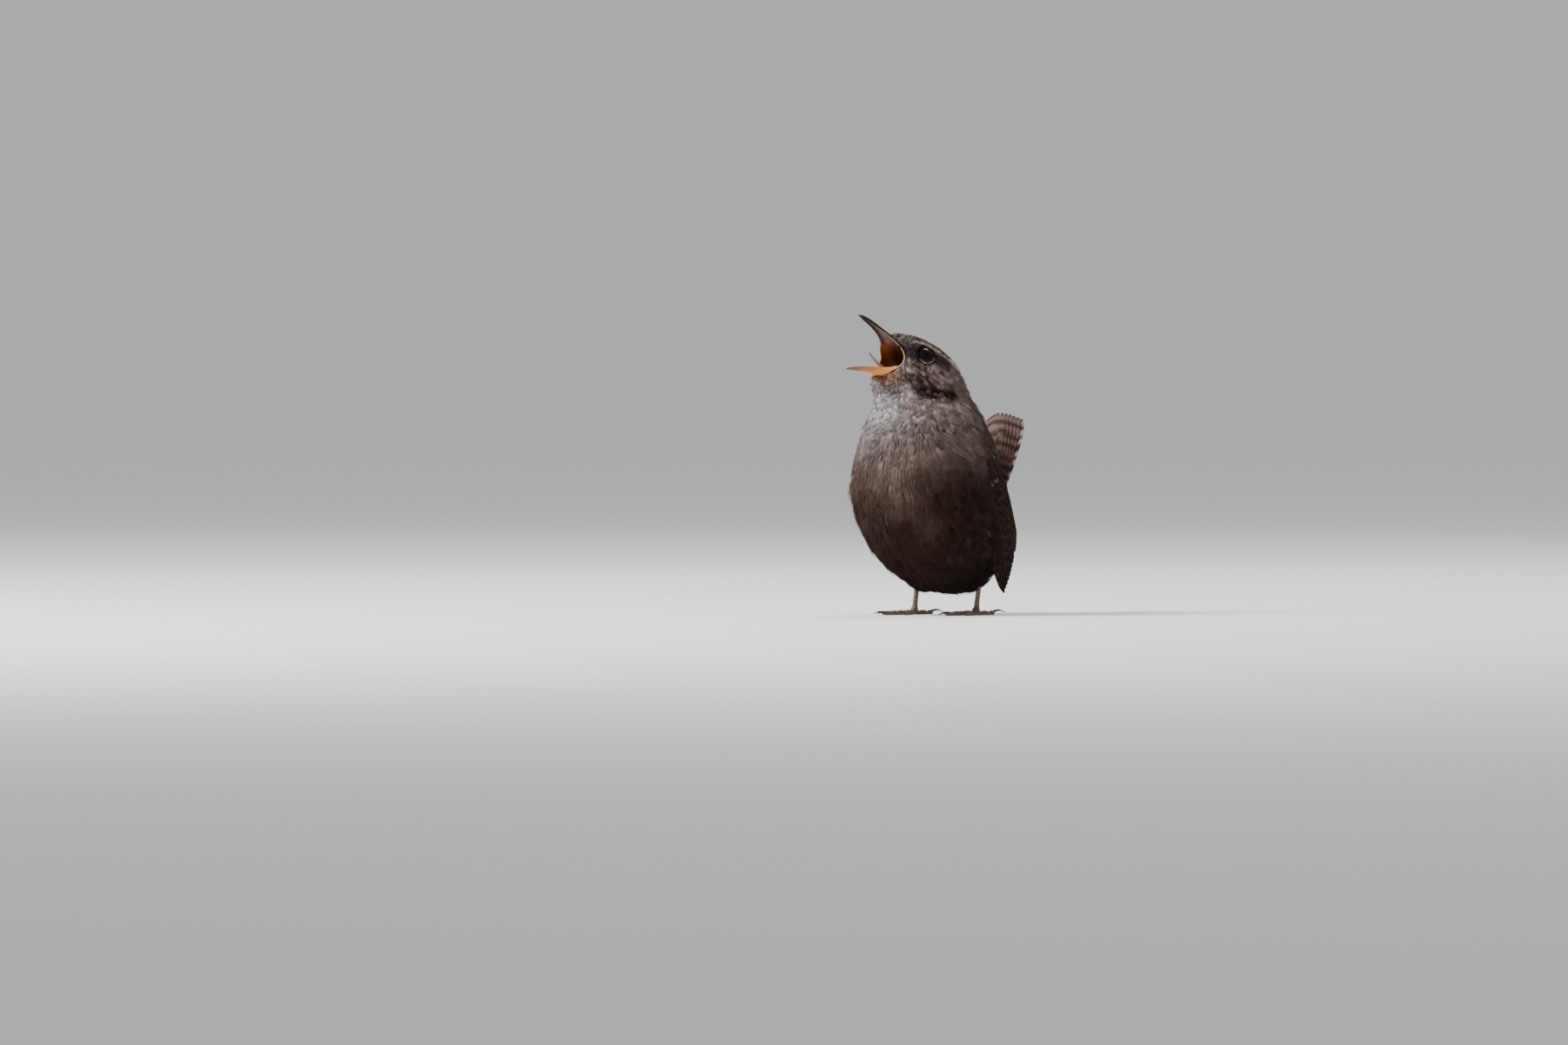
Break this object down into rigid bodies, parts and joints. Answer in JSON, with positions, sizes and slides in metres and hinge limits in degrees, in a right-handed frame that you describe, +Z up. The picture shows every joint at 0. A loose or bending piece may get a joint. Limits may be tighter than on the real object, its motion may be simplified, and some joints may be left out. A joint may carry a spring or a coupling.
{
  "type": "wren",
  "caption": "Life-size still model of a small brown perching bird singing: head raised, bill open, tail cocked, standing on both feet.",
  "frame": {"origin": "on the floor under the middle of the bird's box", "axes": "+Z up, -Y the way the breast faces, +X the bird's left side"},
  "size_m": [0.0352, 0.0556, 0.0768],
  "materials": {
    "plumage": "soft body feathers, greyish brown to warm brown",
    "crown": "short soft feathers, grey brown with a pale stripe over the eye",
    "throat": "soft pale feathers",
    "wing": "firm flight feathers, dark brown with rufous bars",
    "tail": "firm tail feathers, rufous brown with dark bars",
    "eye": "glossy wet brown-black",
    "upper_bill": "smooth horn, dark brown",
    "lower_bill": "smooth horn, pale orange flesh",
    "tongue": "moist pale flesh",
    "leg": "scaly horn, pale brown"
  },
  "bodies": {
    "root": {"head": "crown", "neck": "throat", "torso": "plumage", "eye_left": "eye", "eye_right": "eye", "bill_upper": "upper_bill", "bill_lower": "lower_bill", "tongue": "tongue", "wing_left": "wing", "wing_right": "wing", "tail": "tail", "thigh_left": "plumage", "thigh_right": "plumage", "shank_left": "leg", "shank_right": "leg", "foot_left": "leg", "foot_right": "leg"}
  },
  "joints": []
}
